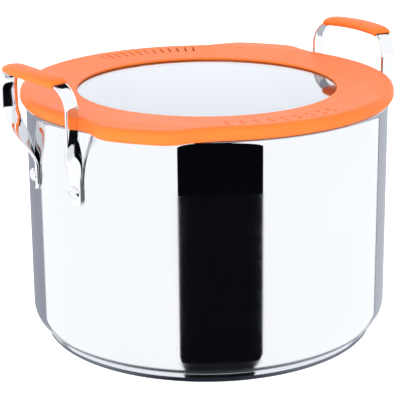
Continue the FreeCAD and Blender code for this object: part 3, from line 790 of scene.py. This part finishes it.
# Strip steel, vibration-polished: bright, hardly any grain left.
strap_steel = bright_steel("tumbled_304_strip", "#E0E1E4", "#E8E9EB", 0.04, 0.9)
# Cold-headed rivets, barrel-polished: the brightest metal here.
rivet_steel = bright_steel("barrel_polished_rivet_steel", "#DCDDE0", "#E4E5E8", 0.1, 0.7)
# Drawn wire, electropolished: softer gloss, with drawing lines along it.
rack_steel = bright_steel("electropolished_304_wire", "#C4C7CC", "#D4D6DA", 0.13, 0.5)
silicone = moulded_orange_silicone()
glass = tempered_soda_lime_glass()

fit_piece(mesh_from_grids("pot_shell", pot_shell()), "pot", "pot_steel", pot_steel, "pot_body")
fit_piece(mesh_from_grids("base_dish", base_cap_shell()), "pot", "base_steel", cap_steel,
          "base_cap")
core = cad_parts["base_core"]
core.data.materials.clear()
core.data.materials.append(drawn_aluminium())

for side, middle in (("right", 0.0), ("left", 180.0)):
    fit_piece(mesh_from_grids(side + "_strap", strap_shell(middle)), "pot", "handle_steel",
              strap_steel, side + "_handle_strap")
    fit_piece(mesh_from_grids(side + "_grip_sleeve", grip_shell(middle)), "pot", "silicone",
              silicone, side + "_handle_grip")
    for end, offset in (("front", -RIVET_ANGLE), ("rear", RIVET_ANGLE)):
        place = middle + (offset if side == "right" else -offset)
        fit_piece(mesh_from_grids("%s_%s_rivet" % (side, end), rivet_shell(place)), "pot",
                  "rivet_steel", rivet_steel, "%s_handle_%s_rivet" % (side, end))

ring = mesh_from_grids("strainer_ring", ring_blank())
cut_away(ring, mesh_from_grids("strainer_pins", strainer_cutters()))
fit_piece(ring, "lid", "silicone", silicone, "lid_ring")
fit_piece(mesh_from_grids("glass_window", glass_disc()), "lid", "lid_glass", glass, "lid_glass")

fit_piece(mesh_from_grids("outer_hoop", hoop(RACK_RADIUS)), "rack", "rack_wire", rack_steel,
          "rack_outer_hoop")
fit_piece(mesh_from_grids("hub_hoop", hoop(HUB_RADIUS)), "rack", "rack_wire", rack_steel,
          "rack_hub_hoop")
for index in range(6):
    fit_piece(mesh_from_grids("spoke_%d" % (index + 1), spoke(30 + 60 * index)), "rack",
              "rack_wire", rack_steel, "rack_spoke_%d" % (index + 1))
foot_level = span("rack_foot_1")[0][2] + WIRE_RADIUS
for index in range(4):
    fit_piece(mesh_from_grids("foot_%d" % (index + 1), hoop_loop(45 + 90 * index, 9.0, foot_level)),
              "rack", "rack_wire", rack_steel, "rack_foot_%d" % (index + 1))
loop_level = span("rack_right_lift_loop")[1][2] - WIRE_RADIUS
for side, middle in (("right", 0.0), ("left", 180.0)):
    fit_piece(mesh_from_grids(side + "_lift_loop", hoop_loop(middle, 24.0, loop_level)), "rack",
              "rack_wire", rack_steel, "rack_%s_lift_loop" % side)


# ------------------------------------------------------------ camera, floor, light

VIEW_TURN = -37.0             # the camera's place, from straight in front of the handles
VIEW_ELEVATION = 17.005
VIEW_DISTANCE = 1.02304
VIEW_TARGET = (0.016945, 0.0, 0.091991)
VIEW_ROLL = -0.003
VIEW_LENS = 135.507
VIEW_SHIFT = (-0.0824, -0.0194)

sideways = polar(1, VIEW_TURN)
backwards = polar(np.cos(np.radians(VIEW_ELEVATION)), VIEW_TURN - 90,
                  np.sin(np.radians(VIEW_ELEVATION)))
upwards = np.cross(backwards, sideways)
camera_place = turned_about_axis(np.array(VIEW_TARGET), VIEW_TURN) + backwards * VIEW_DISTANCE
camera_data = bpy.data.cameras.new("camera")
camera_data.lens, camera_data.sensor_width = VIEW_LENS, 36.0
camera_data.shift_x, camera_data.shift_y = VIEW_SHIFT
camera_data.clip_start, camera_data.clip_end = 0.05, 50.0
camera = bpy.data.objects.new("camera", camera_data)
camera.matrix_world = Matrix.Translation(camera_place) @ Matrix(np.stack(
    [sideways, upwards, backwards], 1)).to_4x4() @ Matrix.Rotation(VIEW_ROLL, 4, "Z")
bpy.context.scene.collection.objects.link(camera)
bpy.context.scene.camera = camera


def stage_card(name, outline, colour, strength=1.0, at_sides=None):
    """Flat board or flag of the studio, or a sheet of painted shade, from its outline in metres.
    It is seen only in mirror finishes. Its colour may turn to another one away from its middle,
    which paints the shade under the pot darker in front and greyer to the sides."""
    mesh = bpy.data.meshes.new(name)
    mesh.from_pydata(outline, [], [list(range(len(outline)))])
    made, tree = blank_material(name)
    tone = linear(colour)
    # Painted shade: the disc under the pot is darker in its middle and greyer to the sides.
    if at_sides:
        place = add(tree, "ShaderNodeTexCoord").outputs["Object"]
        aside = add(tree, "ShaderNodeVectorMath", {"operation": "DOT_PRODUCT"},
                    {0: place, 1: sideways}).outputs["Value"]
        away = add(tree, "ShaderNodeMath", {"operation": "ABSOLUTE"}, {0: aside})
        share = add(tree, "ShaderNodeMapRange", {"interpolation_type": "SMOOTHSTEP"}, {
            "Value": away, "From Min": 0.015, "From Max": 0.08})
        tone = add(tree, "ShaderNodeMix", {"data_type": "RGBA"}, {
            0: share, 6: tone, 7: linear(at_sides)}).outputs[2]
    close_material(tree, add(tree, "ShaderNodeEmission", inputs={
        "Color": tone, "Strength": strength}))
    mesh.materials.append(made)
    card = bpy.data.objects.new(name, mesh)
    bpy.context.scene.collection.objects.link(card)
    card.visible_camera = card.visible_diffuse = card.visible_shadow = False
    card.visible_transmission = card.visible_volume_scatter = False


def mirrored_wedge(first, last, height, near=-0.02, far=1.2):
    """Plan outline of the floor that the wall mirrors to the camera between two wall
    angles. A ray d that meets the wall where its normal is n leaves as d - 2 (d.n) n;
    the outline runs along the two leaving rays."""
    angles = np.array([first, last], float)
    normal = polar(1, angles + VIEW_TURN)
    meets = normal * POT_RADIUS * MM
    ray = unit((meets - camera_place) * (1, 1, 0))
    leaves = ray - 2 * (ray * normal).sum(1, keepdims=True) * normal
    return height * np.array([0, 0, 1]) + np.stack([
        meets[0] + leaves[0] * near, meets[0] + leaves[0] * far,
        meets[1] + leaves[1] * far, meets[1] + leaves[1] * near])


def round_outline(radius, height, around=96):
    return polar(radius, np.arange(around) * 360 / around, height)


def sky_panel(distance, azimuths, elevations):
    """Outline of a flat panel that hides part of the sky from the pot."""
    azimuth = np.array(azimuths + azimuths[::-1], float) + VIEW_TURN
    elevation = np.radians(np.repeat(elevations, 2))
    return polar(distance * np.cos(elevation), azimuth, distance * np.sin(elevation))


# A bright board under everything; a dark flag in front and grey ones to the left and right;
# the shade round the pot's foot; a dark panel overhead and a bright one behind. The wedges
# are laid out for this camera's place, so from other sides they show as curved bands.
stage_card("bright_board", round_outline(3.0, 0.0002), "#FCFDFF", 1.3)
stage_card("front_flag", mirrored_wedge(262.3, 287.0, 0.0006), "#07090E")
stage_card("left_flag", mirrored_wedge(191.2, 208.5, 0.0006), "#A5A9B5")
stage_card("right_flag", mirrored_wedge(337.0, 362.0, 0.0006), "#C4C9D2")
stage_card("right_flag_edge", mirrored_wedge(336.4, 337.2, 0.0008), "#7F848F")
# Painted shade: a dark disc, seen only in mirror finishes, stands for the shade under the pot's round
# corner.
stage_card("shade_under_corner", round_outline(0.1155, 0.001), "#2A2D38", at_sides="#8B8F98")
stage_card("overhead_flag", sky_panel(1.6, [40, 140], [31, 112]), "#15181C")
stage_card("rear_board", sky_panel(2.4, [30, 150], [2, 27]), "#F4F8FF", 2.45)

floor_mesh = bpy.data.meshes.new("floor")
floor_mesh.from_pydata(round_outline(8.0, 0.0), [], [list(range(96))])
floor_paint, floor_tree = blank_material("matt_white_paper")
floor_place = add(floor_tree, "ShaderNodeTexCoord").outputs["Object"]
floor_tooth = add(floor_tree, "ShaderNodeTexNoise", inputs={"Vector": floor_place, "Scale": 3.0})
floor_tone = add(floor_tree, "ShaderNodeMix", {"data_type": "RGBA"}, {
    0: floor_tooth, 6: linear("#F2F2F2"), 7: linear("#F6F6F6")}).outputs[2]
close_material(floor_tree, add(floor_tree, "ShaderNodeBsdfPrincipled", inputs={
    "Base Color": floor_tone, "Roughness": 0.9, "Specular IOR Level": 0.1,
    "Emission Color": linear("#FFFFFF"), "Emission Strength": 0.45}))
floor_mesh.materials.append(floor_paint)
floor = bpy.data.objects.new("floor", floor_mesh)
bpy.context.scene.collection.objects.link(floor)

world = bpy.data.worlds.new("white_studio")
world.use_nodes = True
world.node_tree.nodes.clear()
add(world.node_tree, "ShaderNodeOutputWorld", inputs={"Surface": add(
    world.node_tree, "ShaderNodeBackground", inputs={"Color": linear("#FBFCFF"), "Strength": 1.25})})
bpy.context.scene.world = world


def soft_box(name, place, aim, width, height, watts):
    """Large area light that faces a point. It doesn't show in mirror finishes."""
    data = bpy.data.lights.new(name, "AREA")
    data.shape, data.size, data.size_y, data.energy = "RECTANGLE", width, height, watts
    made = bpy.data.objects.new(name, data)
    place, aim = np.asarray(place, float), np.asarray(aim, float)
    back = unit(place - aim)
    side = unit(np.cross((0, 0, 1), back))
    made.matrix_world = Matrix.Translation(place) @ Matrix(np.stack(
        [side, np.cross(back, side), back], 1)).to_4x4()
    made.visible_glossy = False
    bpy.context.scene.collection.objects.link(made)


soft_box("front_box", polar(2.0, 250 + VIEW_TURN, 0.75), (0, 0, 0.14), 1.2, 1.0, 26)

bpy.context.scene.view_settings.view_transform = "Standard"
